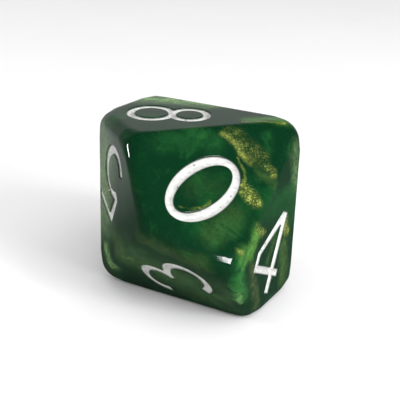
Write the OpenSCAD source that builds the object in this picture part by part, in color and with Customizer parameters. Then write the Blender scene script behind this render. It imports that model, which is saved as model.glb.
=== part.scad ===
// Ten-sided die: a tumbled pentagonal trapezohedron with paint-filled numerals.
// It stands on the face that carries the 1, so the 8 is on top.
// Origin: on the table, straight below the die's centre.
// +Z is up, and +X is the way the poles' axis leans.

/* [Body] */
// Distance between two opposite faces
face_gap = 16; // [12:0.5:25]
// Radius that tumbling leaves along every edge
edge_r = 1.1; // [0.6:0.1:1.6]
// How far tumbling cuts each edge back at the ten belt corners
corner_cut = 0.6; // [0:0.1:1.2]
// How far tumbling cuts each edge back at the two poles
pole_cut = 1.0; // [0:0.1:1.6]

/* [Numerals] */
// Height of a numeral
numeral_h = 7.3; // [4:0.1:8]
// Width of the widest round numeral
numeral_w = 4.9; // [3:0.1:6]
// Width of the upright strokes
stroke_upright = 0.88; // [0.5:0.02:1.2]
// Width of the level strokes
stroke_level = 0.68; // [0.4:0.02:1]
// Distance from a numeral's foot to the far corner of the flat on its face
foot_margin = 1.3; // [0.8:0.1:4]
// Distance kept between a numeral's top corner and its face's edges
edge_margin = 0.2; // [0.1:0.05:0.6]
// Depth of the moulded numerals below the face
recess_depth = 0.45; // [0.3:0.05:0.8]
// How far the paint stays below the face
paint_drop = 0.12; // [0.05:0.01:0.2]
// Diameter of the dot that marks the 6 and the 9
dot_d = 0.95; // [0.6:0.05:1.4]
// Clear gap between a marked numeral and its dot
dot_gap = 0.45; // [0.3:0.05:0.8]

/* [Numeral places] */
// How far right of the common place the mould puts the 3
right_3 = -0.3; // [-1.5:0.1:1.5]
// How far above the common place the mould puts the 3
up_3 = 0.9; // [-0.5:0.1:1.5]
// How far right of the common place the mould puts the 4
right_4 = 0.3; // [-1.5:0.1:1.5]
// How far right of the common place the mould puts the 5
right_5 = 1.3; // [-1.5:0.1:1.5]
// How far above the common place the mould puts the 5
up_5 = 0.3; // [-0.5:0.1:1.5]

/* [Hidden] */

SIDES = 5;          // faces round each pole
FACE_STEP = 360 / SIDES;
BELT_STEP = 180 / SIDES;
SPHERE_FN = 40;     // facets round a rounding ball
ARC_STEP = 6;       // degrees between the points of a numeral's curve
OVERRUN = 1;        // how far a recess cutter stands clear of the face

// Numerals round the upper and the lower pole, in order of azimuth.
// Lower faces stand half a step after the upper ones.
EVENS = [0, 4, 2, 6, 8];
ODDS = [3, 1, 9, 7, 5];
TOP_NUMERAL = 8;

// A belt edge between an upper and a lower face is square, which fixes the
// slope of every face.
face_tilt = atan(1 / sqrt(cos(BELT_STEP)));
face_dist = face_gap / 2;
// The poles and belt corners of the sharp solid lie on one sphere.
belt_ratio = pow(tan(BELT_STEP / 2), 2);
pole_per_dist = 1 / cos(face_tilt);
belt_r_per_dist = (1 + belt_ratio) * pole_per_dist / tan(face_tilt);

// The sharp solid's corners: the two poles, then the belt
pole_z = face_dist * pole_per_dist;
belt_r = face_dist * belt_r_per_dist;
CORNERS = concat(
    [[0, 0, pole_z], [0, 0, -pole_z]],
    [for (k = [0:2 * SIDES - 1]) [
        belt_r * cos(k * BELT_STEP),
        belt_r * sin(k * BELT_STEP),
        (k % 2 == 0 ? -1 : 1) * pole_z * belt_ratio,
    ]]
);
function belt(k) = 2 + k % (2 * SIDES);
// Each edge as [corner, corner]. A pole, where there is one, comes first.
EDGES = concat(
    [for (k = [0:2 * SIDES - 1]) [belt(k), belt(k + 1)]],
    [for (k = [0:2 * SIDES - 1]) [k % 2 == 0 ? 1 : 0, belt(k)]]
);

// The core: the sharp solid drawn in by the edge radius, with each corner cut
// back along the edges that meet there. Balls at its corners round the die.
CORE = CORNERS * (1 - edge_r / face_dist);
function cut_at(corner) = corner < 2 ? pole_cut : corner_cut;
function along(a, b, s) = a + (b - a) * s / norm(b - a);
CUT_CORE = [
    for (e = EDGES, way = [0, 1])
        along(CORE[e[way]], CORE[e[1 - way]], cut_at(e[way]))
];

// From a face's centre to the far corner of its flat. In this solid the pole
// lies as far from the face's centre as the far corner does.
flat_far = (face_dist - edge_r) * tan(face_tilt);
numeral_foot = foot_margin - flat_far;
// Half the width of a sharp face at height y above its centre
sharp_far = face_dist * tan(face_tilt);
widest_x = belt_r * sin(BELT_STEP);
widest_y = pole_z * belt_ratio * sin(face_tilt) - belt_r * cos(BELT_STEP) * cos(face_tilt);
function half_width(y) = widest_x * (sharp_far - y) / (sharp_far - widest_y);
// Places that differ from the common one, as [numeral, right, up]
OFF_PLACES = [[3, right_3, up_3], [4, right_4, 0], [5, right_5, up_5]];
// A numeral goes no further sideways than its top corner has room for.
function off_place(d) =
    let (found = [for (p = OFF_PLACES) if (p[0] == d) p])
    let (right = len(found) == 0 ? 0 : found[0][1])
    let (up = len(found) == 0 ? 0 : found[0][2])
    let (top_half_width = half_width(numeral_foot + up + numeral_h))
    let (room = max(0, top_half_width - upper_rx - edge_margin))
    [min(max(right, -room), room), up];

// Proportions of the numerals
waist_y = 0.54 * numeral_h;
upper_rx = 0.44 * numeral_w;
lower_rx = numeral_w / 2;
// The two bowls of the 3 and the 8 share one level stroke at the waist.
upper_ry = (numeral_h - waist_y + stroke_level / 2) / 2;
lower_ry = (waist_y + stroke_level / 2) / 2;
zero_rx = 0.47 * numeral_w;
terminal_turn = 168; // degrees from level at which an open curve ends

function on_oval(cx, cy, rx, ry, angle) = [cx + rx * cos(angle), cy + ry * sin(angle)];
function arc(cx, cy, rx, ry, from, to) =
    let (n = ceil(abs(to - from) / ARC_STEP))
    [for (i = [0:n]) on_oval(cx, cy, rx, ry, from + (to - from) * i / n)];

function reversed(list) = [for (i = [len(list) - 1:-1:0]) list[i]];

module oval(cx, cy, rx, ry) {
    polygon(arc(cx, cy, rx, ry, 0, 360 - ARC_STEP));
}

module oval_hole(cx, cy, rx, ry) {
    oval(cx, cy, rx - stroke_upright, ry - stroke_level);
}

// A curved stroke: part of an oval ring, seen from its outside line
module curve(cx, cy, rx, ry, from, to) {
    polygon(concat(
        arc(cx, cy, rx, ry, from, to),
        reversed(arc(cx, cy, rx - stroke_upright, ry - stroke_level, from, to))
    ));
}

module zero() {
    difference() {
        oval(0, numeral_h / 2, zero_rx, numeral_h / 2);
        oval_hole(0, numeral_h / 2, zero_rx, numeral_h / 2);
    }
}

module one() {
    flag_x = 0.28 * numeral_w;
    flag_y = 0.17 * numeral_h;
    half = stroke_upright / 2;
    polygon([
        [-half, 0],
        [half, 0],
        [half, numeral_h],
        [-half * 0.4, numeral_h],
        [-flag_x, numeral_h - flag_y],
        [-flag_x, numeral_h - flag_y - stroke_level],
        [-half, numeral_h - flag_y - stroke_level * 0.4],
    ]);
}

module two() {
    bowl_ry = 0.29 * numeral_h;
    bowl_y = numeral_h - bowl_ry;
    turn = -40; // where the bowl runs straight on into the leg
    inner_rx = upper_rx - stroke_upright;
    inner_ry = bowl_ry - stroke_level;
    polygon(concat(
        arc(0, bowl_y, upper_rx, bowl_ry, terminal_turn, turn),
        [
            [-upper_rx + stroke_upright * 1.35, stroke_level],
            [upper_rx, stroke_level],
            [upper_rx, 0],
            [-upper_rx, 0],
            [-upper_rx, stroke_level * 0.9],
        ],
        arc(0, bowl_y, inner_rx, inner_ry, turn, terminal_turn)
    ));
}

// An 8 whose two bowls open to the left
module three() {
    upper_y = numeral_h - upper_ry;
    difference() {
        eight();
        polygon([
            [0, lower_ry],
            [0, upper_y],
            on_oval(0, upper_y, numeral_w, numeral_w, terminal_turn),
            on_oval(0, lower_ry, numeral_w, numeral_w, -terminal_turn),
        ]);
    }
}

module four() {
    stem_right = 0.31 * numeral_w;
    stem_left = stem_right - 1.1 * stroke_upright;
    bar_left = -0.6 * numeral_w;
    bar_right = 0.51 * numeral_w;
    bar_low = 0.22 * numeral_h;
    bar_top = bar_low + stroke_level;
    elbow = 0.45 * numeral_h;
    diagonal_w = 0.85 * stroke_upright;
    difference() {
        polygon([
            [stem_left, 0],
            [stem_right, 0],
            [stem_right, bar_low],
            [bar_right, bar_low],
            [bar_right, bar_top],
            [stem_right, bar_top],
            [stem_right, numeral_h],
            [stem_left - 0.15 * stroke_upright, numeral_h],
            [bar_left, elbow],
            [bar_left, bar_low],
            [stem_left, bar_low],
        ]);
        polygon([
            [stem_left, bar_top],
            [stem_left, 0.83 * numeral_h],
            [bar_left + diagonal_w, elbow - 0.02 * numeral_h],
            [bar_left + diagonal_w, bar_top],
        ]);
    }
}

module five() {
    right = 0.42 * numeral_w;
    bowl_rx = 0.48 * numeral_w;
    bowl_ry = 0.33 * numeral_h;
    bowl_x = right - bowl_rx;
    inner_rx = bowl_rx - stroke_upright;
    inner_ry = bowl_ry - stroke_level;
    notch = 115; // where the upright's inner line meets the bowl
    start = 140; // where the upright's outer line meets the bowl
    end = -150;
    foot = on_oval(bowl_x, bowl_ry, bowl_rx, bowl_ry, start);
    top_x = foot[0] + 0.1 * numeral_w;
    flag_y = numeral_h - stroke_level;
    polygon(concat(
        arc(bowl_x, bowl_ry, bowl_rx, bowl_ry, end, notch),
        [
            [top_x + 0.8 * stroke_upright, flag_y],
            [right, flag_y],
            [right, numeral_h],
            [top_x, numeral_h],
            foot,
        ],
        arc(bowl_x, bowl_ry, inner_rx, inner_ry, start, end)
    ));
}

module six() {
    bowl_ry = 0.31 * numeral_h;
    rise = numeral_h - bowl_ry;
    difference() {
        oval(0, bowl_ry, upper_rx, bowl_ry);
        oval_hole(0, bowl_ry, upper_rx, bowl_ry);
    }
    curve(0, bowl_ry, upper_rx, rise, 52, 180);
}

module seven() {
    half = 0.42 * numeral_w;
    heel = -0.16 * numeral_w;
    polygon([
        [heel, 0],
        [heel + stroke_upright, 0],
        [half, numeral_h - stroke_level * 0.8],
        [half, numeral_h],
        [-half, numeral_h],
        [-half, numeral_h - stroke_level],
        [half - stroke_upright * 1.15, numeral_h - stroke_level],
    ]);
}

module eight() {
    upper_y = numeral_h - upper_ry;
    difference() {
        union() {
            oval(0, upper_y, upper_rx, upper_ry);
            oval(0, lower_ry, lower_rx, lower_ry);
        }
        oval_hole(0, upper_y, upper_rx, upper_ry);
        oval_hole(0, lower_ry, lower_rx, lower_ry);
    }
}

module nine() {
    translate([0, numeral_h]) rotate(180) six();
}

// Outline of numeral d, standing on the origin with its top towards +Y
module outline(d) {
    if (d == 0) zero();
    else if (d == 1) one();
    else if (d == 2) two();
    else if (d == 3) three();
    else if (d == 4) four();
    else if (d == 5) five();
    else if (d == 6) six();
    else if (d == 7) seven();
    else if (d == 8) eight();
    else nine();
}

// The dot stands beside the numeral, clear of the rounded edge.
module dot_outline() {
    translate([upper_rx + dot_gap + dot_d / 2, dot_d / 2 + stroke_level])
        circle(d = dot_d, $fn = 48);
}

// Turns the upright die so that the top numeral's face is level
module resting() {
    place = search(TOP_NUMERAL, EVENS)[0];
    translate([0, 0, face_dist])
        rotate([0, 0, 180])
            rotate([0, -face_tilt, 0])
                rotate([0, 0, -place * FACE_STEP])
                    children();
}

// Puts children on numeral d's face: origin at the face's centre, +Z outwards,
// +Y towards the pole
module on_face(d) {
    upper = d % 2 == 0;
    place = search(d, upper ? EVENS : ODDS)[0];
    azimuth = place * FACE_STEP + (upper ? 0 : BELT_STEP);
    resting()
        rotate([0, 0, azimuth])
            rotate([0, upper ? face_tilt : 180 - face_tilt, 0])
                translate([0, 0, face_dist])
                    rotate([0, 0, upper ? 90 : -90])
                        children();
}

// The die's outside, drawn in by inset
module tumbled(inset = 0) {
    resting()
        hull()
            for (p = CUT_CORE)
                translate(p) sphere(r = edge_r - inset, $fn = SPHERE_FN);
}

// A recess cut for numeral d, or for its dot
module cutter(d, dot = false) {
    place = off_place(d);
    on_face(d)
        translate([place[0], numeral_foot + place[1], -recess_depth])
            linear_extrude(recess_depth + OVERRUN)
                if (dot) dot_outline(); else outline(d);
}

module die_body() {
    color("darkgreen")
        difference() {
            tumbled();
            for (d = [0:9]) cutter(d);
            for (d = [6, 9]) cutter(d, dot = true);
        }
}

// Paint in numeral d's recess, or in its dot's, level with the paint line
module paint(d, dot = false) {
    color("whitesmoke")
        intersection() {
            tumbled(paint_drop);
            cutter(d, dot);
        }
}

die_body();
for (d = [0:9])
    paint(d);
for (d = [6, 9])
    paint(d, dot = true);
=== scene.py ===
"""Looks of a ten-sided die: swirled pearl resin, tumbled edges, and paint-filled numerals."""

import math

import bmesh
import bpy
import numpy as np
from mathutils import Matrix, Vector, geometry, noise


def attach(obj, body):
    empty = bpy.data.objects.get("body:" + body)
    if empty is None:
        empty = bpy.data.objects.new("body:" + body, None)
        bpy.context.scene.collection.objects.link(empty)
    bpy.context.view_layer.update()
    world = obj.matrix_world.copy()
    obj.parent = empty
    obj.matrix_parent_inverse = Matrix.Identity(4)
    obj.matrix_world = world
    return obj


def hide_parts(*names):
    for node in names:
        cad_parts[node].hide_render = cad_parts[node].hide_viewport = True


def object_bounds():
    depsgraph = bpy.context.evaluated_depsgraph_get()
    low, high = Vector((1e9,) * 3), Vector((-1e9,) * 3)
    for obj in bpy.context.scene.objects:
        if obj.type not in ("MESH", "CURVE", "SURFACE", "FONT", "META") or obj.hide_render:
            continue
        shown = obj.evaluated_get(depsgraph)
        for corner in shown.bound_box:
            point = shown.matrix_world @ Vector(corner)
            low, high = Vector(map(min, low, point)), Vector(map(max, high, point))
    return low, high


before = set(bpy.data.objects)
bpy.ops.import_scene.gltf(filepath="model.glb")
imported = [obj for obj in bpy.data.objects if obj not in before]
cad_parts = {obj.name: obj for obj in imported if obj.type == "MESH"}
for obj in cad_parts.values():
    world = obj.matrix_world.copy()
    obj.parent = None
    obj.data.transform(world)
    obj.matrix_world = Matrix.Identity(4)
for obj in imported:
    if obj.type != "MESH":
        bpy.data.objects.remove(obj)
cad_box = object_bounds()

MM = 0.001  # the die is worked out in millimetres about its centre
BODY = "root"

# ---------------------------------------------------------------- the solid

SIDES = 5
FACE_STEP = 2 * math.pi / SIDES
EVENS = (0, 4, 2, 6, 8)  # numerals round the upper pole
ODDS = (3, 1, 9, 7, 5)  # and round the lower one, half a step on
TOP_NUMERAL = 8

centre = (cad_box[0] + cad_box[1]) / 2
FACE_DIST = (cad_box[1].z - cad_box[0].z) / 2 / MM
FACE_TILT = math.atan(1 / math.sqrt(math.cos(FACE_STEP / 2)))
BELT_RATIO = math.tan(FACE_STEP / 4) ** 2
POLE_Z = FACE_DIST / math.cos(FACE_TILT)
BELT_R = (1 + BELT_RATIO) * POLE_Z / math.tan(FACE_TILT)

# Tumbling leaves a radius on the edges, and larger ones on the corners, which
# run out along the edges.
EDGE_R = 1.1
CORNER_R = 1.5
POLE_R = 2.1
CORNER_RUN = 1.3
POLE_RUN = 1.7

RECESS_DEPTH = 0.45


def unit(v):
    return v / np.linalg.norm(v)


def axis_face(numeral):
    """A face's right, up and outward directions, with the poles' axis upright."""
    upper = numeral % 2 == 0
    place = (EVENS if upper else ODDS).index(numeral)
    azimuth = place * FACE_STEP + (0 if upper else FACE_STEP / 2)
    sign = 1 if upper else -1
    flat = math.sin(FACE_TILT)
    out = np.array((flat * math.cos(azimuth), flat * math.sin(azimuth), sign * math.cos(FACE_TILT)))
    pole = np.array((0, 0, sign))
    up = unit(pole - out * (pole @ out))
    return np.array((np.cross(up, out), up, out))


top_face = axis_face(TOP_NUMERAL)
RESTING = np.array((top_face[1], np.cross(top_face[2], top_face[1]), top_face[2]))
FACES = {d: axis_face(d) @ RESTING.T for d in range(10)}


def sharp_corners():
    """The poles, then the ten belt corners, of the die before tumbling."""
    corners = [(0, 0, POLE_Z), (0, 0, -POLE_Z)]
    for k in range(2 * SIDES):
        angle = k * FACE_STEP / 2
        z = BELT_RATIO * POLE_Z * (-1 if k % 2 == 0 else 1)
        corners.append((BELT_R * math.cos(angle), BELT_R * math.sin(angle), z))
    return np.array(corners) @ RESTING.T


# Edges as pairs of corners
CORNERS = sharp_corners()
POLES = 2  # corners 0 and 1 are the poles
BELT = [(POLES + k, POLES + (k + 1) % (2 * SIDES)) for k in range(2 * SIDES)]
SPOKES = [(1 if k % 2 == 0 else 0, POLES + k) for k in range(2 * SIDES)]


def nested(corner, r):
    """Centre of a ball of radius r that touches every face at a corner."""
    return CORNERS[corner] * (1 - r / FACE_DIST)


def rounding_cones():
    """Pairs of balls, (centre, radius) each, whose hulls make the rounded edges."""
    cones = []
    for a, b in BELT + SPOKES:
        ends = []
        for near, far in ((a, b), (b, a)):
            along = unit(nested(far, EDGE_R) - nested(near, EDGE_R))
            run = POLE_RUN if near < POLES else CORNER_RUN
            edge_ball = (nested(near, EDGE_R) + along * run, EDGE_R)
            corner_r = POLE_R if near < POLES else CORNER_R
            cones.append(((nested(near, corner_r), corner_r), edge_ball))
            ends.append(edge_ball)
        cones.append(tuple(ends))
    return cones


CONES = rounding_cones()


def cone_distance(points, cone):
    """Distance of points to the hull of two balls."""
    (a, r1), (b, r2) = cone
    axis = b - a
    length = np.linalg.norm(axis)
    axis = axis / length
    lean = (r1 - r2) / length
    upright = math.sqrt(1 - lean * lean)
    y = (points - a) @ axis
    x = np.linalg.norm(points - a - y[:, None] * axis, axis=1)
    k = upright * y - lean * x
    side = x * upright + y * lean - r1
    low = np.hypot(x, y) - r1
    high = np.hypot(x, y - length) - r2
    return np.where(k < 0, low, np.where(k > upright * length, high, side))


MARCH_STEPS = 60
ON_SURFACE = 1e-4  # mm
MEETABLE = 0.5  # cosine of the widest angle at which a point can meet an edge
SAME_PLACE = 1e-6  # mm


def rounded(points):
    """Moves points on the sharp die towards its centre, onto the tumbled surface."""
    far = np.linalg.norm(points, axis=1)
    ways = points / far[:, None]
    best = np.zeros(len(points))
    for cone in CONES:
        near = np.nonzero(np.abs(ways @ unit(cone[0][0] + cone[1][0])) > MEETABLE)[0]
        t = far[near].copy()
        for _ in range(MARCH_STEPS):
            t -= np.maximum(cone_distance(ways[near] * t[:, None], cone), 0)
        hit = cone_distance(ways[near] * t[:, None], cone) < ON_SURFACE
        best[near[hit]] = np.maximum(best[near[hit]], t[hit])
    return ways * best[:, None]


# One face in its own frame: x right, y up towards its pole, z out
HALF_LENGTH = FACE_DIST * math.tan(FACE_TILT)
WIDEST_X = BELT_R * math.sin(FACE_STEP / 2)
WIDEST_Y = (BELT_RATIO * POLE_Z * math.sin(FACE_TILT)
            - BELT_R * math.cos(FACE_STEP / 2) * math.cos(FACE_TILT))
KITE = np.array(((0, HALF_LENGTH), (-WIDEST_X, WIDEST_Y), (0, -HALF_LENGTH), (WIDEST_X, WIDEST_Y)))


def flat_outline():
    """Outline of the flat that tumbling leaves on a face."""
    face = FACES[TOP_NUMERAL]
    feet = [ball[0] @ face.T for cone in CONES for ball in cone
            if abs(ball[0] @ face[2] + ball[1] - FACE_DIST) < SAME_PLACE]
    feet = sorted(feet, key=lambda p: math.atan2(p[1], p[0]))
    spots = [feet[0]]
    for p in feet[1:]:
        if np.linalg.norm(p - spots[-1]) > SAME_PLACE:
            spots.append(p)
    return np.array(spots)[:, :2]


FLAT = flat_outline()
WITHIN_FLAT = 0.9999  # points on the flat's own outline count as off it


def inside(points, loops):
    """Which points lie inside closed loops, by the even-odd rule."""
    odd = np.zeros(len(points), bool)
    x, y = points[:, 0], points[:, 1]
    for loop in loops:
        for (ax, ay), (bx, by) in zip(loop, np.roll(loop, -1, 0)):
            if ay == by:
                continue
            crosses = (ay > y) != (by > y)
            odd ^= crosses & (x < ax + (y - ay) * (bx - ax) / (by - ay))
    return odd


def outline_distance(points, loops):
    """Distance of points to the nearest stretch of closed loops."""
    best = np.full(len(points), np.inf)
    for loop in loops:
        for a, b in zip(loop, np.roll(loop, -1, 0)):
            way = b - a
            share = np.clip(((points - a) @ way) / max(way @ way, 1e-12), 0, 1)
            gap = np.linalg.norm(points - a - share[:, None] * way, axis=1)
            best = np.minimum(best, gap)
    return best


def on_face(numeral, flat_points, depth=0.0):
    """Points of a face's plane, brought to the tumbled surface and sunk by depth."""
    face = FACES[numeral]
    sharp = np.column_stack((flat_points, np.full(len(flat_points), FACE_DIST)))
    points = sharp @ face
    off = ~inside(flat_points, [FLAT * WITHIN_FLAT])
    if off.any():
        points[off] = rounded(points[off])
    return points - np.asarray(depth)[..., None] * face[2]


def split_line(a, b, parts):
    """Evenly spaced points from a, b left out."""
    share = np.arange(parts)[:, None] / parts
    return a + (b - a) * share


ROW_INSETS = (0, 0.12, 0.25, 0.4, 0.56, 0.74, 0.95, 1.2, 1.5, 1.9, 2.4, 3.2, 4.2)
ROW_STEP = 0.26  # spacing of points along the rows near the edges
COARSER_FROM = 1.2  # the inset from which the spacing grows


def kite_points():
    """Rows of points that follow a face's edges, close together where it is rounded."""
    rows = []
    ways = [unit(np.roll(KITE, -1, 0)[i] - KITE[i]) for i in range(4)]
    inwards = [np.array((-w[1], w[0])) for w in ways]
    for inset in ROW_INSETS:
        corners = []
        for i in range(4):
            matrix = np.array((inwards[i - 1], inwards[i]))
            against = np.array((inwards[i - 1] @ KITE[i], inwards[i] @ KITE[i])) + inset
            corners.append(np.linalg.solve(matrix, against))
        for i in range(4):
            a, b = corners[i], corners[(i + 1) % 4]
            step = ROW_STEP * max(1, inset / COARSER_FROM)
            full = np.linalg.norm(np.roll(KITE, -1, 0)[i] - KITE[i])
            parts = max(2, round(np.linalg.norm(b - a) / step))
            if inset == 0:
                parts = round(full / ROW_STEP)
            rows.append(split_line(a, b, parts))
    return np.vstack(rows)


KITE_POINTS = kite_points()


FLOOR_BAND = 1e-3  # mm; how level the paint's floor is
KEY_DIGITS = 3  # points that agree to this many decimals are one


def numeral_loops(node, numeral):
    """Outlines of a recess, in its face's frame, read from its paint's flat floor."""
    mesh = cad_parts[node].data
    face = FACES[numeral]
    places = np.array([(v.co - centre) / MM for v in mesh.vertices]) @ face.T
    floor = places[:, 2].min()
    keys = [tuple(np.round(p[:2], KEY_DIGITS)) for p in places]
    spots = {}
    edges = set()
    for polygon in mesh.polygons:
        ring = list(polygon.vertices)
        if max(places[i, 2] for i in ring) > floor + FLOOR_BAND:
            continue
        for i, j in zip(ring, ring[1:] + ring[:1]):
            spots[keys[i]] = places[i, :2]
            spots[keys[j]] = places[j, :2]
            edges.add((keys[j], keys[i]))
    follow = {a: b for a, b in edges if (b, a) not in edges and a != b}
    loops = []
    while follow:
        start = min(follow)
        loop = [start]
        step = follow.pop(start)
        while step != start:
            loop.append(step)
            step = follow.pop(step)
        loops.append(thinned(np.array([spots[k] for k in loop])))
    return loops


def thinned(loop, closest=0.02):
    """Drops points that lie too close to the one before."""
    kept = [loop[0]]
    for p in loop[1:]:
        if np.linalg.norm(p - kept[-1]) > closest:
            kept.append(p)
    if np.linalg.norm(kept[0] - kept[-1]) < closest:
        kept.pop()
    return np.array(kept)


def refined(loop, step=0.16):
    """Splits a loop's long stretches."""
    parts = []
    for a, b in zip(loop, np.roll(loop, -1, 0)):
        parts.append(split_line(a, b, max(1, round(np.linalg.norm(b - a) / step))))
    return np.vstack(parts)


RIM_ROOM = 0.4  # most that a point slides, as a share of the stretch beside it
RIM_BEND = 0.4  # keeps a sharp corner's shift from running away
RIM_TRIES = 8
RIM_LEAST = 0.9  # least clearance kept, as a share of the shift
RIM_EASE = 0.75


def rim_ways(loop, by):
    """Which way, and how far, each point of a loop moves to widen it by that much.

    A point moves less inside a tight corner, so that the wider loop never folds.
    """
    before = loop - np.roll(loop, 1, 0)
    after = np.roll(loop, -1, 0) - loop
    room = RIM_ROOM * np.minimum(np.linalg.norm(before, axis=1), np.linalg.norm(after, axis=1))
    before = before / np.linalg.norm(before, axis=1)[:, None]
    after = after / np.linalg.norm(after, axis=1)[:, None]
    n1 = np.column_stack((before[:, 1], -before[:, 0]))
    n2 = np.column_stack((after[:, 1], -after[:, 0]))
    shift = by * (n1 + n2) / np.maximum(1 + (n1 * n2).sum(1), RIM_BEND)[:, None]
    slide = np.maximum(np.abs((shift * after).sum(1)), np.abs((shift * before).sum(1)))
    share = np.minimum(1, room / np.maximum(slide, 1e-9))
    for _ in range(RIM_TRIES):
        tight = outline_distance(loop + shift * share[:, None], [loop]) < RIM_LEAST * by * share
        share[tight] *= RIM_EASE
    return shift * share[:, None]


SLIVER = 1e-5  # mm2; thinner triangles only join points along a straight edge


def triangulated(points, loops, keep):
    """Delaunay triangles of points and loops; keep picks them by their middles."""
    spots = [Vector(p) for p in points]
    edges = []
    for loop in loops:
        first = len(spots)
        spots += [Vector(p) for p in loop]
        n = len(loop)
        edges += [(first + i, first + (i + 1) % n) for i in range(n)]
    found = geometry.delaunay_2d_cdt(spots, edges, [], 0, SAME_PLACE)
    places = np.array([tuple(v) for v in found[0]])
    triangles = np.array([tuple(f) for f in found[2]])
    a, b, c = (places[triangles[:, k]] for k in range(3))
    area = np.abs((b - a)[:, 0] * (c - a)[:, 1] - (b - a)[:, 1] * (c - a)[:, 0]) / 2
    return places, triangles[keep((a + b + c) / 3) & (area > SLIVER)]


WELD = 0.002 * MM  # vertices nearer than this are one


class MeshParts:
    """Vertices and faces gathered from several patches."""

    def __init__(self):
        self.points = []
        self.faces = []
        self.count = 0

    def add(self, points, faces=()):
        first = self.count
        self.points.append(np.asarray(points))
        self.count += len(points)
        self.faces += [tuple(first + i for i in f) for f in faces]
        return first

    def wall(self, upper, lower, n):
        """Quads between two rings of n points, given by their first indices."""
        for i in range(n):
            j = (i + 1) % n
            self.faces.append((upper + j, upper + i, lower + i, lower + j))

    def build(self, name):
        """One welded mesh object."""
        points = np.vstack(self.points) * MM + np.array(centre)
        mesh = bpy.data.meshes.new(name)
        mesh.from_pydata(points.tolist(), [], self.faces)
        welded = bmesh.new()
        welded.from_mesh(mesh)
        bmesh.ops.remove_doubles(welded, verts=welded.verts, dist=WELD)
        bmesh.ops.recalc_face_normals(welded, faces=welded.faces)
        welded.to_mesh(mesh)
        welded.free()
        obj = bpy.data.objects.new(name, mesh)
        bpy.context.scene.collection.objects.link(obj)
        return obj


def weigh_normals(mesh):
    """Smooth normals in which a face counts by its area, so that flats stay flat."""
    normals = np.zeros((len(mesh.vertices), 3))
    for polygon in mesh.polygons:
        normals[list(polygon.vertices)] += np.array(polygon.normal) * polygon.area
    lengths = np.maximum(np.linalg.norm(normals, axis=1), 1e-20)
    mesh.shade_smooth()
    mesh.normals_split_custom_set_from_vertices((normals / lengths[:, None]).tolist())


# The rim of a recess: how far outside the outline it runs, and how deep
RIM = ((0.07, 0.0), (0.045, 0.006), (0.022, 0.022), (0.006, 0.046), (0.0, 0.075), (0.0, RECESS_DEPTH))
RIM_CLEAR = 0.1  # no point of the face lies nearer a rim than this

NODES_OF = {d: ["numeral_%d" % d] for d in range(10)}
for marked in (6, 9):
    NODES_OF[marked].append("numeral_%d_dot" % marked)


def make_body():
    """The tumbled resin solid with its engraved recesses."""
    parts = MeshParts()
    for numeral, nodes in NODES_OF.items():
        loops = [refined(loop) for node in nodes for loop in numeral_loops(node, numeral)]
        ways = [rim_ways(loop, RIM[0][0]) for loop in loops]
        rims = [[loop + way * (by / RIM[0][0]) for loop, way in zip(loops, ways)] for by, _ in RIM]
        clear = outline_distance(KITE_POINTS, rims[0]) > RIM_CLEAR
        clear &= ~inside(KITE_POINTS, rims[0])
        spots = KITE_POINTS[clear]
        places, triangles = triangulated(spots, rims[0], lambda m: ~inside(m, rims[0]))
        parts.add(on_face(numeral, places), triangles)
        above = [parts.add(on_face(numeral, loop)) for loop in rims[0]]
        for (_, depth), rings in zip(RIM[1:], rims[1:]):
            below = [parts.add(on_face(numeral, loop, np.full(len(loop), depth))) for loop in rings]
            for a, b, loop in zip(above, below, rings):
                parts.wall(a, b, len(loop))
            above = below
        last = rims[-1]
        places, triangles = triangulated(np.zeros((0, 2)), last, lambda m: inside(m, last))
        parts.add(on_face(numeral, places, np.full(len(places), RECESS_DEPTH)), triangles)
    body = parts.build("resin_body")
    weigh_normals(body.data)
    return body


PAINT_LIP = 0.07  # how far below the face the paint meets the recess's wall
PAINT_SAG = 0.28  # how much lower it lies in the middle of a stroke
PAINT_FLOOR = RECESS_DEPTH - 0.01
HALF_STROKE = 0.42
PAINT_STEP = 0.1  # spacing of the points of its top
ROW_RISE = 0.866  # distance between rows of a triangular grid, per spacing
GRID_CLEAR = 0.6  # distance kept from the outline, per spacing
PAINT_CREASE = 50  # degrees; sharper edges stay sharp
RIPPLE_SCALE, RIPPLE_HEIGHT = 1.1, 0.035
GRAIN_SCALE, GRAIN_HEIGHT = 5, 0.012
GRAIN_SEED = 9
EDGE_GAP = "edge_gap"  # a vertex's distance from the outline, in mm


def surface_noise(points, scale, seed):
    return np.array([noise.noise(Vector((x * scale, y * scale, seed))) for x, y in points])


def paint_depth(points, loops, seed):
    """Depth of dried paint: it clings to the walls and sinks in between, unevenly."""
    gap = np.minimum(outline_distance(points, loops) / HALF_STROKE, 1)
    sag = PAINT_LIP + PAINT_SAG * (1 - (1 - gap) ** 2)
    ripple = surface_noise(points, RIPPLE_SCALE, seed)
    grain = surface_noise(points, GRAIN_SCALE, seed + GRAIN_SEED)
    return sag + gap * (RIPPLE_HEIGHT * ripple + GRAIN_HEIGHT * grain)


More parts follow.
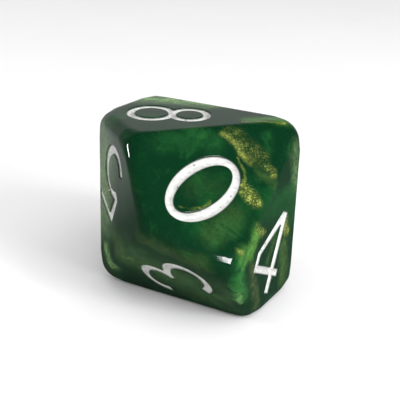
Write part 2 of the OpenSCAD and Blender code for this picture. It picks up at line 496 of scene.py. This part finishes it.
def make_paint(node, numeral):
    """The paint in one recess, with a sunken top."""
    loops = [refined(loop) for loop in numeral_loops(node, numeral)]
    low = np.min([loop.min(0) for loop in loops], axis=0)
    high = np.max([loop.max(0) for loop in loops], axis=0)
    xs = np.arange(low[0], high[0], PAINT_STEP)
    ys = np.arange(low[1], high[1], PAINT_STEP * ROW_RISE)
    grid = np.array([(x + (row % 2) * PAINT_STEP / 2, y)
                     for row, y in enumerate(ys) for x in xs])
    grid = grid[inside(grid, loops)]
    grid = grid[outline_distance(grid, loops) > PAINT_STEP * GRID_CLEAR]
    places, triangles = triangulated(grid, loops, lambda m: inside(m, loops))
    parts = MeshParts()
    top = paint_depth(places, loops, numeral)
    parts.add(on_face(numeral, places, top), triangles)
    floor = np.full(len(places), PAINT_FLOOR)
    parts.add(on_face(numeral, places, floor), triangles[:, ::-1])
    for loop in loops:
        upper = parts.add(on_face(numeral, loop, np.full(len(loop), PAINT_LIP)))
        lower = parts.add(on_face(numeral, loop, np.full(len(loop), PAINT_FLOOR)))
        parts.wall(lower, upper, len(loop))
    paint = parts.build(node + "_paint")
    spots = np.array([(v.co - centre) / MM for v in paint.data.vertices]) @ FACES[numeral].T
    gaps = paint.data.attributes.new(EDGE_GAP, "FLOAT", "POINT")
    gaps.data.foreach_set("value", outline_distance(spots[:, :2], loops))
    paint.data.shade_smooth()
    paint.data.set_sharp_from_angle(angle=math.radians(PAINT_CREASE))
    return paint


body = make_body()
paints = {node: make_paint(node, numeral) for numeral, nodes in NODES_OF.items() for node in nodes}

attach(body, BODY)
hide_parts("die_body")
for node, paint in paints.items():
    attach(paint, BODY)
    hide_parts(node)

# ---------------------------------------------------------------- the camera

VIEW_AZIMUTH = math.radians(3.073)
VIEW_ELEVATION = math.radians(21.401)
VIEW_ROLL = math.radians(1.933)
VIEW_DISTANCE = 73.83 * MM
SENSOR_WIDTH = 36
LENS = 74.07
SHIFT = (0.0065, 0.0029)

scene = bpy.context.scene


def direction(azimuth, elevation):
    """The way to a point round the die, with azimuth from -Y towards +X."""
    level = math.cos(elevation)
    return Vector((math.sin(azimuth) * level, -math.cos(azimuth) * level, math.sin(elevation)))


def add_camera():
    away = direction(VIEW_AZIMUTH, VIEW_ELEVATION)
    level = Vector((math.cos(VIEW_AZIMUTH), math.sin(VIEW_AZIMUTH), 0))
    upright = away.cross(level)
    right = level * math.cos(VIEW_ROLL) + upright * math.sin(VIEW_ROLL)
    up = upright * math.cos(VIEW_ROLL) - level * math.sin(VIEW_ROLL)
    camera = bpy.data.objects.new("camera", bpy.data.cameras.new("camera"))
    scene.collection.objects.link(camera)
    camera.matrix_world = Matrix((right, up, away)).transposed().to_4x4()
    camera.location = Vector(centre) + away * VIEW_DISTANCE
    camera.data.sensor_width = SENSOR_WIDTH
    camera.data.lens = LENS
    camera.data.shift_x, camera.data.shift_y = SHIFT
    camera.data.clip_start = 1 * MM
    scene.camera = camera


add_camera()
scene.view_settings.view_transform = "Standard"
scene.view_settings.look = "None"

# ---------------------------------------------------------------- node helpers


class Tree:
    """Short ways to add and join shader nodes."""

    def __init__(self, tree):
        self.tree = tree
        tree.nodes.clear()

    def node(self, kind, **fields):
        made = self.tree.nodes.new(kind)
        for key, value in fields.items():
            setattr(made, key, value)
        return made

    def put(self, socket, value):
        if isinstance(value, bpy.types.NodeSocket):
            self.tree.links.new(value, socket)
        elif value is not None:
            socket.default_value = value

    def math(self, operation, a, b=None, c=None, clamp=False):
        made = self.node("ShaderNodeMath", operation=operation, use_clamp=clamp)
        for socket, value in zip(made.inputs, (a, b, c)):
            self.put(socket, value)
        return made.outputs[0]

    def vector(self, operation, a, b=None, c=None, scale=None):
        made = self.node("ShaderNodeVectorMath", operation=operation)
        for socket, value in zip(made.inputs, (a, b, c)):
            self.put(socket, value)
        if scale is not None:
            self.put(made.inputs["Scale"], scale)
        if operation in ("DOT_PRODUCT", "LENGTH", "DISTANCE"):
            return made.outputs["Value"]
        return made.outputs["Vector"]

    def span(self, value, low, high, to_low=0.0, to_high=1.0, smooth=True):
        """value carried from low..high to to_low..to_high, clamped."""
        kind = "SMOOTHSTEP" if smooth else "LINEAR"
        made = self.node("ShaderNodeMapRange", interpolation_type=kind)
        for socket, given in zip(made.inputs, (value, low, high, to_low, to_high)):
            self.put(socket, given)
        return made.outputs[0]

    def noise(self, place, scale, detail=2.0, rough=0.5, out="Fac"):
        made = self.node("ShaderNodeTexNoise", noise_dimensions="3D")
        self.put(made.inputs["Vector"], place)
        fields = {"Scale": scale, "Detail": detail, "Roughness": rough}
        for key, value in fields.items():
            self.put(made.inputs[key], value)
        return made.outputs[out]

    def mix(self, share, a, b, blend="MIX"):
        """Colour a with b over it by share."""
        made = self.node("ShaderNodeMix", data_type="RGBA", blend_type=blend, clamp_factor=True)
        self.put(made.inputs["Factor"], share)
        self.put(made.inputs["A"], (*a, 1) if isinstance(a, tuple) else a)
        self.put(made.inputs["B"], (*b, 1) if isinstance(b, tuple) else b)
        return made.outputs["Result"]

    def millimetres(self):
        """A surface point in millimetres from the die's centre."""
        place = self.node("ShaderNodeTexCoord").outputs["Object"]
        return self.vector("SCALE", self.vector("SUBTRACT", place, tuple(centre)), scale=1 / MM)

    def cells(self, place, scale):
        """Random cells: distance to the nearest one's middle, and its own number."""
        made = self.node("ShaderNodeTexVoronoi", feature="F1")
        self.put(made.inputs["Vector"], place)
        self.put(made.inputs["Scale"], scale)
        picked = self.node("ShaderNodeSeparateColor")
        self.put(picked.inputs[0], made.outputs["Color"])
        return made.outputs["Distance"], picked.outputs[0]

    def bump(self, strength, distance, height):
        made = self.node("ShaderNodeBump")
        for key, value in (("Strength", strength), ("Distance", distance), ("Height", height)):
            self.put(made.inputs[key], value)
        return made.outputs[0]

    def principled(self, **fields):
        """A Principled shader, joined to the output. Names have _ for a space."""
        shader = self.node("ShaderNodeBsdfPrincipled")
        for key, value in fields.items():
            self.put(shader.inputs[key.replace("_", " ")], value)
        out = self.node("ShaderNodeOutputMaterial")
        self.put(out.inputs["Surface"], shader.outputs[0])


def new_material(name):
    material = bpy.data.materials.new(name)
    material.use_nodes = True
    return material, Tree(material.node_tree)


# ---------------------------------------------------------------- the resin

# Colours are linear
DEEP = (0.0022, 0.025, 0.0088)
CLOUD = (0.009, 0.085, 0.018)
GOLD = (0.20, 0.235, 0.050)
LEAF = (0.10, 0.28, 0.045)
PALE = (0.19, 0.35, 0.13)
OLIVE = (0.055, 0.115, 0.028)
GLOW = (0.030, 0.18, 0.038)
BROWN = (0.060, 0.085, 0.030)
NIGHT = (0.004, 0.030, 0.012)


def spot(numeral, right, up):
    """A place on a face, by how far right and up of the face's centre it lies."""
    return tuple(float(c) for c in np.array((right, up, FACE_DIST)) @ FACES[numeral])


# Swirls lie in the resin like bent ribbons. Each kind has a colour and a share
# of glitter, and each ribbon of it a strength, a half width in mm, and the
# points that it runs through, in mm from the die's centre.
SWIRLS = (
    # soft clouds above the 0, and under its right corner a painted glow: light bent through the resin
    # along the edge
    (GLOW, 0.0, (
        (0.30, 1.0, ((-0.2, -4.4, 7.8), (1.2, -4.6, 7.0))),
        (0.20, 1.0, (spot(0, -5.0, -3.0), spot(0, -4.0, -1.5))),
        (0.25, 0.8, ((2.4, -9.0, 1.2), (3.6, -8.2, 1.2))),
        # Painted light: a bright green line of light bent through the resin below the 0's right
        # corner
        (0.62, 0.80, ((4.1, -9.8, -1.2), (4.1, -9.5, -3.2), (4.2, -8.8, -4.8))),
    )),
    # olive haze in the 0, below it, and low on the 3, 4 and 5 faces
    (OLIVE, 0.15, (
        (0.50, 0.5, ((5.4, -4.6, 4.6), (6.4, -4.6, 3.6))),
        (0.15, 1.2, ((0.3, -7.6, 4.2), (1.7, -7.0, 4.2))),
        (0.32, 1.1, ((1.8, -9.6, 1.2), (2.7, -8.7, 1.7), (3.3, -8.0, 2.1))),
        (0.90, 0.9, ((8.0, -1.9, -6.2), (8.0, -2.0, -5.0), (7.8, -2.2, -3.0))),
        (0.60, 0.35, ((6.9, -4.1, -1.0), (6.4, -5.2, -3.2))),
        (0.50, 0.9, ((-3.6, -9.9, 0.2), (-1.4, -10.3, -0.6), (1.0, -10.5, -1.2))),
        (0.60, 1.2, ((-6.6, -4.4, -2.0), (-5.4, -6.4, -4.0))),
    )),
    (BROWN, 0.3, ((0.80, 0.6, ((5.0, -7.9, -2.5), (5.3, -7.2, -4.5), (5.6, -6.6, -6.6))),)),
    (NIGHT, 0.0, ((0.80, 0.7, ((6.6, -4.9, -4.8), (6.8, -4.4, -7.0))),)),
    # leaf green beside the 4 and along the top's right edge
    (LEAF, 0.05, (
        (0.75, 0.85, ((5.3, -7.4, 0.2), (4.9, -8.2, -0.9), (4.3, -9.2, -1.0))),
        (0.60, 0.8, ((4.2, -0.9, 8.0), (6.0, -0.3, 8.0), (7.4, 0.0, 8.0))),
    )),
    # pale pearl: the top's far edge, the 5 face and two low corners; on the 3 face it is painted
    # light
    (PALE, 0.25, (
        (1.00, 1.5, ((-7.2, 4.4, 7.6), (-3.6, 5.0, 8.0), (0.4, 4.2, 8.0))),
        # Painted light: lightens the downward 3 face as light from the floor would
        (0.20, 2.8, ((-4.8, -7.2, -3.6), (1.5, -7.8, -5.2))),
        (0.50, 2.6, ((-8.2, -1.6, 4.5), (-8.2, -1.2, -1.0))),
        (0.60, 0.22, ((3.9, -9.1, -4.3), (4.3, -8.3, -5.6))),
        (0.35, 0.9, ((8.2, -1.2, 5.6), (8.6, -0.6, 2.6))),
        (0.85, 0.8, ((-7.9, -2.0, -4.3), (-7.3, -3.0, -5.3))),
    )),
    # gold: a river with a bright ridge, patches, and thin lines
    (GOLD, 1.0, (
        (0.28, 0.75, ((2.9, -3.4, 7.4), (4.4, -3.7, 6.4), (5.3, -4.0, 5.7))),
        (0.90, 0.50, ((3.7, -6.1, 3.8), (4.5, -6.3, 3.2), (5.1, -6.5, 2.7))),
        (0.80, 0.34, ((6.0, -4.1, 4.9), (6.4, -4.2, 4.4))),
        (0.70, 0.40, ((5.3, -7.2, 0.7), (5.8, -6.3, 0.0))),
        (0.60, 0.35, ((-7.9, -2.0, 2.1), (-7.4, -3.0, 1.4))),
    )),
    (GOLD, 0.5, (
        (1.00, 0.30, ((2.2, -3.8, 7.5), (3.3, -4.0, 6.8), (4.0, -4.3, 6.0), (4.6, -4.5, 5.4))),
        (0.60, 0.16, ((3.5, -4.6, 5.8), (4.0, -5.3, 4.8), (3.9, -6.1, 3.9))),
        (0.45, 0.14, (spot(0, 0.2, -5.3), spot(0, 0.9, -4.3), spot(0, 1.2, -3.1))),
        (1.00, 0.30, ((4.0, -9.7, -0.2), (4.3, -9.4, -0.6))),
        (1.00, 0.50, ((7.8, -2.4, -0.4), (8.1, -1.7, -1.6))),
        (0.90, 0.18, ((3.6, -1.6, 8.0), (5.4, -1.2, 8.0), (7.5, -0.6, 7.8))),
    )),
)


SLOW_BEND = 7.0  # mm that slow stirring moves a pattern
QUICK_BEND = 0.9
RIBBON_BEND = 1.1
FLAKES_PER_MM = 11.0
FEW_PAINTED_GLINTS = 3.5  # higher leaves fewer flakes with a painted glint
RIBBON_FADE = 1.65  # a ribbon has faded out at this many half widths
DULLED = 0.68  # painted glint: how much darker the flakes that catch no light are, at full glitter
BRIGHTENED = 1.9  # and how much brighter the brightest, painted glints


def ribbon(t, place, points):
    """Distance of a place to a line through some points."""
    best = None
    for a, b in zip(points, points[1:]):
        way = Vector(b) - Vector(a)
        reach = t.vector("SUBTRACT", place, tuple(a))
        share = t.vector("DOT_PRODUCT", reach, tuple(way / way.length_squared))
        share = t.math("MULTIPLY", share, 1.0, clamp=True)
        off = t.vector("SUBTRACT", reach, t.vector("SCALE", tuple(way), scale=share))
        gap = t.vector("LENGTH", off)
        best = gap if best is None else t.math("MINIMUM", best, gap)
    return best


def resin_material():
    """Dark green resin with clouds, veils, mica flakes and ribbons of pearl."""
    material, t = new_material("swirled_pearl_resin")
    place = t.millimetres()

    # The colours were stirred, so every pattern is bent by slow noise
    slow = t.vector("SUBTRACT", t.noise(place, 0.16, 2.0, out="Color"), (0.5, 0.5, 0.5))
    quick = t.vector("SUBTRACT", t.noise(place, 0.75, 3.0, out="Color"), (0.5, 0.5, 0.5))
    stirred = t.vector("ADD", place, t.vector("SCALE", slow, scale=SLOW_BEND))
    stirred = t.vector("ADD", stirred, t.vector("SCALE", quick, scale=QUICK_BEND))
    nudged = t.vector("ADD", place, t.vector("SCALE", quick, scale=RIBBON_BEND))

    clouds = t.noise(stirred, 0.17, 4.0, 0.55)
    wisps = t.noise(stirred, 0.55, 4.0, 0.6)
    grain = t.noise(place, 6.0, 2.0, 0.6)
    colour = t.mix(t.span(clouds, 0.50, 0.78, 0.0, 0.7), DEEP, CLOUD)
    colour = t.mix(t.span(wisps, 0.56, 0.84, 0.0, 0.3), colour, GLOW)

    # Flakes of mica: each cell is one flake, and the bright few are painted glints
    _, flake = t.cells(place, FLAKES_PER_MM)
    painted_glint = t.math("POWER", flake, FEW_PAINTED_GLINTS)

    # Veils of pearl run all through the resin, and are plainest at the back
    front = Vector((math.sin(VIEW_AZIMUTH), -math.cos(VIEW_AZIMUTH), 0.25)).normalized()
    back_share = t.span(t.vector("DOT_PRODUCT", place, tuple(front)), 1.0, -3.5)
    fold = t.math("ABSOLUTE", t.math("SUBTRACT", t.noise(stirred, 0.14, 3.0, 0.5), 0.5))
    veil = t.math("MULTIPLY", t.span(fold, 0.075, 0.0), t.span(wisps, 0.36, 0.70))
    veil = t.math("MULTIPLY", veil, back_share)
    veil_colour = t.mix(t.span(clouds, 0.40, 0.60), LEAF, GOLD)
    # Painted glint: flakes that catch the light are painted gold, the rest olive
    veil_colour = t.mix(0.6, veil_colour, t.mix(painted_glint, OLIVE, GOLD))
    colour = t.mix(t.math("MULTIPLY", veil, 0.8), colour, veil_colour)

    drawn_out = t.vector("MULTIPLY", stirred, (1.0, 1.9, 1.5))
    streaks = t.span(t.noise(drawn_out, 0.9, 3.0, 0.6), 0.30, 0.66)
    silk = t.span(streaks, 0.0, 1.0, 0.40, 1.0)
    for tint, glitter, ribbons in SWIRLS:
        cover = None
        for strength, width, points in ribbons:
            near = t.span(ribbon(t, nudged, points), width * RIBBON_FADE, 0.0, 0.0, strength)
            cover = near if cover is None else t.math("MAXIMUM", cover, near)
        # Painted glint: each flake in a ribbon is painted darker or brighter than its tint
        dull = tuple((1 - DULLED * glitter) * c for c in tint)
        bright = tuple(min(1.0, (1 + BRIGHTENED * glitter) * c) for c in tint)
        colour = t.mix(t.math("MULTIPLY", cover, silk), colour, t.mix(painted_glint, dull, bright))
    colour = t.mix(1.0, colour, t.span(grain, 0.3, 0.7, 0.88, 1.12), blend="MULTIPLY")

    # Handling leaves the polish very slightly uneven
    t.principled(
        Base_Color=colour,
        Roughness=t.span(t.noise(place, 0.9, 3.0), 0.3, 0.7, 0.07, 0.11),
        Specular_IOR_Level=0.18,
        Coat_Weight=0.30,
        Coat_Roughness=0.03,
        Normal=t.bump(0.03, 0.02 * MM, t.noise(place, 1.6, 3.0, 0.6)),
    )
    return material


PINHOLES_PER_MM = 2.6


def paint_material():
    """White paint with a silver cast, brushed in and wiped, with pinholes."""
    material, t = new_material("numeral_paint_white")
    place = t.millimetres()
    brushed = t.noise(t.vector("MULTIPLY", place, (1.0, 1.7, 2.3)), 1.6, 4.0, 0.6)
    colour = t.mix(t.span(brushed, 0.35, 0.65), (0.50, 0.50, 0.488), (0.64, 0.64, 0.625))
    thin = t.span(t.noise(place, 0.8, 4.0, 0.65), 0.60, 0.72)
    colour = t.mix(t.math("MULTIPLY", thin, 0.35), colour, (0.30, 0.36, 0.31))
    distance, pick = t.cells(place, PINHOLES_PER_MM)
    size = t.span(pick, 0.45, 1.0, 0.0, 0.24, smooth=False)
    hole = t.math("LESS_THAN", distance, size)
    colour = t.mix(t.math("MULTIPLY", hole, 0.75), colour, (0.03, 0.06, 0.035))
    # Dirt and bare resin show along the outline
    gap = t.node("ShaderNodeAttribute", attribute_name=EDGE_GAP).outputs["Fac"]
    colour = t.mix(t.span(gap, 0.085, 0.015, 0.0, 0.9), colour, (0.035, 0.055, 0.035))
    t.principled(
        Base_Color=colour,
        Roughness=t.span(brushed, 0.3, 0.7, 0.30, 0.48),
        Normal=t.bump(0.25, 0.03 * MM, t.noise(place, 4.0, 4.0, 0.65)),
    )
    return material


body.data.materials.append(resin_material())
white = paint_material()
for paint in paints.values():
    paint.data.materials.append(white)

# ---------------------------------------------------------------- the studio

FILL = 0.75  # radiance of the tent
BACK_SPAN = (0.60, 0.92)  # how far behind the die mirrored darkness gives way to light
FLOOR_HALF = 1.2  # m
KEY_FAR = 0.30  # m, from the die to the narrow lights


def behind(t, way):
    """How far a level direction points behind the die, and a little to the left."""
    level = t.vector("NORMALIZE", t.vector("MULTIPLY", way, (1.0, 1.0, 0.0)))
    return t.vector("DOT_PRODUCT", level, (-0.3, 1.0, 0.0))


def floor_material():
    """A pale matt sweep that the die's polish mirrors as dark."""
    material, t = new_material("pale_sweep")
    place = t.node("ShaderNodeTexCoord").outputs["Object"]
    pale = t.mix(t.noise(place, 40.0, 3.0), (0.84, 0.84, 0.84), (0.88, 0.88, 0.88))
    mirrored = t.node("ShaderNodeLightPath").outputs["Is Glossy Ray"]
    dark = t.math("MULTIPLY", mirrored, t.span(behind(t, place), *BACK_SPAN, 0.90, 0.50))
    shade = t.mix(dark, pale, (0.0, 0.0, 0.0))
    t.principled(Base_Color=shade, Roughness=0.9, Specular_IOR_Level=0.0)
    return material


def add_floor():
    mesh = bpy.data.meshes.new("floor")
    signs = ((-1, -1), (1, -1), (1, 1), (-1, 1))
    corners = [(x * FLOOR_HALF, y * FLOOR_HALF, 0) for x, y in signs]
    mesh.from_pydata(corners, [], [(0, 1, 2, 3)])
    floor = bpy.data.objects.new("floor", mesh)
    scene.collection.objects.link(floor)
    mesh.materials.append(floor_material())


def add_softbox(name, azimuth, elevation, distance, width, height, radiance, lean=0.0):
    """An area light that faces the die, its top leaning to the right. Angles in degrees."""
    way = direction(math.radians(azimuth), math.radians(elevation))
    light = bpy.data.lights.new(name, "AREA")
    light.shape = "RECTANGLE"
    light.size, light.size_y = width, height
    light.energy = radiance * math.pi * width * height
    obj = bpy.data.objects.new(name, light)
    scene.collection.objects.link(obj)
    obj.location = Vector(centre) + way * distance
    turn = way.to_track_quat("Z", "Y").to_matrix() @ Matrix.Rotation(-math.radians(lean), 3, "Z")
    obj.rotation_euler = turn.to_euler()
    return obj


def angular(degrees, distance):
    """Width of a thing that looks this wide from the die."""
    return 2 * distance * math.tan(math.radians(degrees) / 2)


def add_world():
    """A white tent: bright for the fill, and in mirror reflections bright only low down."""
    world = bpy.data.worlds.new("tent")
    scene.world = world
    world.use_nodes = True
    t = Tree(world.node_tree)
    sky = t.node("ShaderNodeTexCoord").outputs["Generated"]
    height = t.node("ShaderNodeSeparateXYZ")
    t.put(height.inputs[0], sky)
    low = t.span(height.outputs["Z"], 0.20, 0.85, 0.36, 0.02)
    low = t.math("MULTIPLY", low, t.span(behind(t, sky), *BACK_SPAN, 0.2, 1.0))
    mirrored = t.node("ShaderNodeLightPath").outputs["Is Glossy Ray"]
    fill = t.math("MULTIPLY", t.math("SUBTRACT", 1.0, mirrored), FILL)
    strength = t.math("ADD", t.math("MULTIPLY", mirrored, low), fill)
    background = t.node("ShaderNodeBackground")
    t.put(background.inputs["Color"], (1.0, 1.0, 1.0, 1.0))
    t.put(background.inputs["Strength"], strength)
    out = t.node("ShaderNodeOutputWorld")
    t.put(out.inputs["Surface"], background.outputs[0])


add_floor()
add_world()
# The key is a narrow window that leans. It shows as a small bright patch low on the 0.
add_softbox("key", azimuth=46.8, elevation=25.5, distance=KEY_FAR,
            width=angular(9, KEY_FAR), height=angular(25, KEY_FAR), radiance=34.0, lean=31)
# The strip shows as a short line on the rounded edge beside the 5
add_softbox("left_strip", azimuth=-92.0, elevation=16.0, distance=KEY_FAR,
            width=angular(3.5, KEY_FAR), height=angular(12, KEY_FAR), radiance=55.0)
# A large diffuser above the right shapes the faces, and is kept out of reflections
overhead = add_softbox("overhead", azimuth=40.0, elevation=50.0, distance=0.40,
                       width=0.25, height=0.25, radiance=2.8)
overhead.visible_glossy = False
